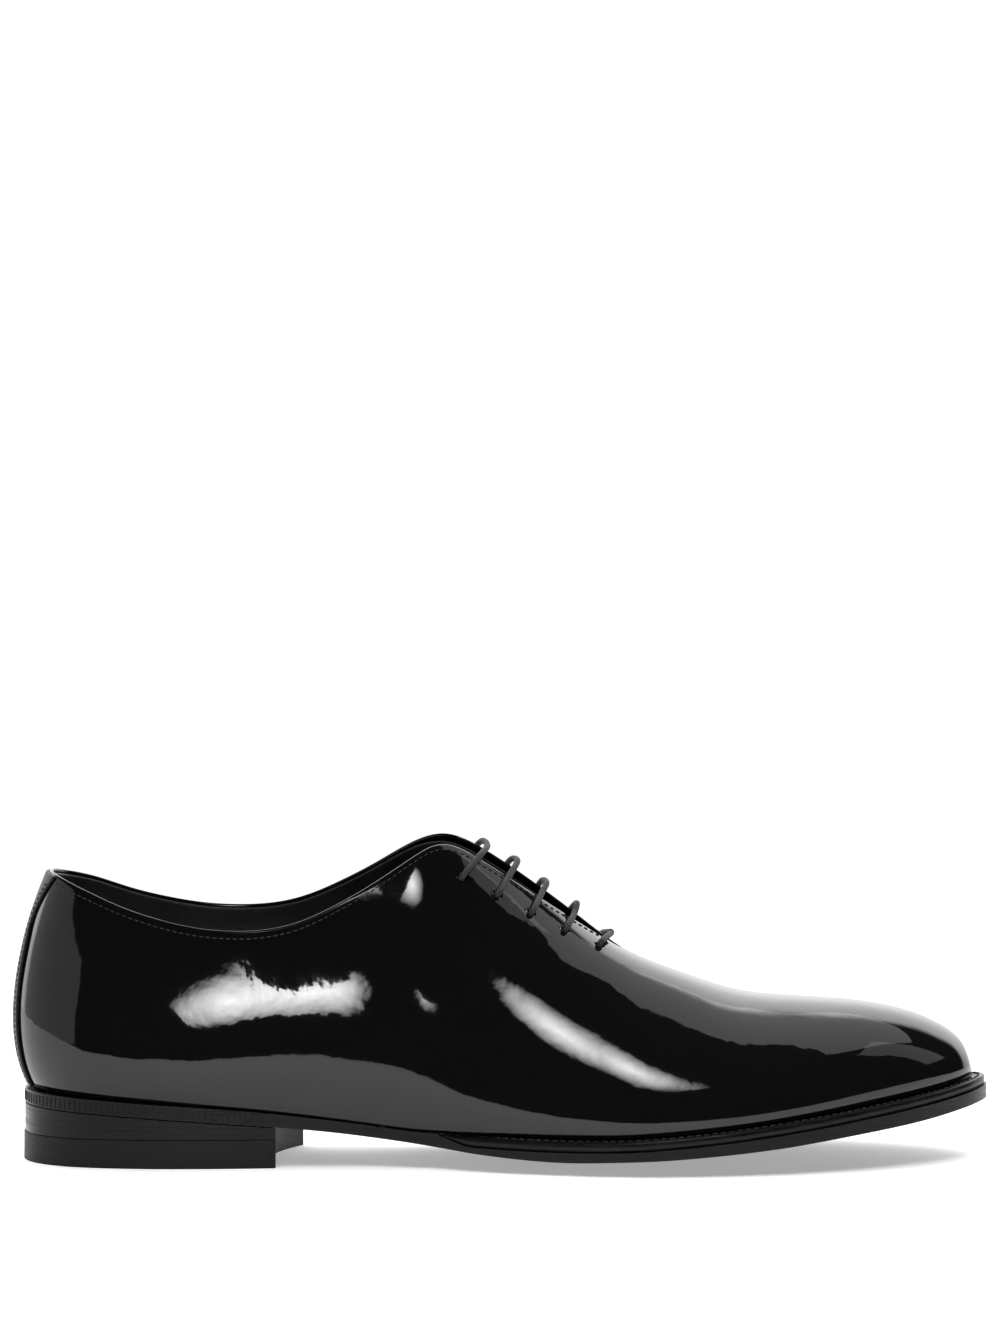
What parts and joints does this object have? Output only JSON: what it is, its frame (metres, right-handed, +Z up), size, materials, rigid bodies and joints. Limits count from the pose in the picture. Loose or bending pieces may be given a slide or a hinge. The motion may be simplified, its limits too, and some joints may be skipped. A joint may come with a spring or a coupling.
{
  "type": "oxford shoe",
  "caption": "Laced wholecut oxford shoe in patent leather, with a welted leather sole and a stacked heel, worn on the right foot.",
  "frame": {"origin": "centre of the shoe's bounding box, on the floor under the sole", "axes": "+X towards the toe, +Z up, lateral (outer) side towards -Y"},
  "size_m": [0.3086, 0.1032, 0.102],
  "materials": {
    "patent_leather": "mirror gloss",
    "matte_leather": "matte",
    "lining_leather": "satin",
    "stiffener": "matte",
    "insole_leather": "matte",
    "cork": "matte",
    "spring_steel": "satin",
    "sole_edge": "burnished semi-gloss",
    "heel_rubber": "matte",
    "brass": "satin",
    "waxed_cotton": "matte",
    "aglet_plastic": "gloss"
  },
  "bodies": {
    "shoe": {"upper": "patent_leather", "back_strip": "matte_leather", "quarter_lining": "lining_leather", "vamp_lining": "lining_leather", "heel_counter": "stiffener", "toe_puff": "stiffener", "eyelet_stay_lateral": "matte_leather", "eyelet_stay_medial": "matte_leather", "heel_grip": "lining_leather", "insole_board": "insole_leather", "sock_liner": "lining_leather", "shank": "spring_steel", "cork_filler": "cork", "welt": "sole_edge", "outsole": "sole_edge", "heel_lift_1": "sole_edge", "heel_lift_2": "sole_edge", "heel_lift_3": "sole_edge", "top_piece": "heel_rubber", "heel_nail_1": "brass", "heel_nail_2": "brass", "heel_nail_3": "brass", "heel_nail_4": "brass", "heel_nail_5": "brass", "heel_nail_6": "brass", "heel_nail_7": "brass", "lace": "waxed_cotton", "aglet_lateral": "aglet_plastic", "aglet_medial": "aglet_plastic"},
    "tongue_flap": {"tongue": "patent_leather", "tongue_lining": "lining_leather"}
  },
  "joints": [
    {"name": "tongue_fold", "type": "hinge", "parent": "shoe", "child": "tongue_flap", "pos_m": [0.0561, 0.003, 0.055], "axis": [0, -1, 0], "range_deg": [0, 12], "stiffness_Nm_per_rad": 0.15, "springref_deg": -5.73}
  ]
}
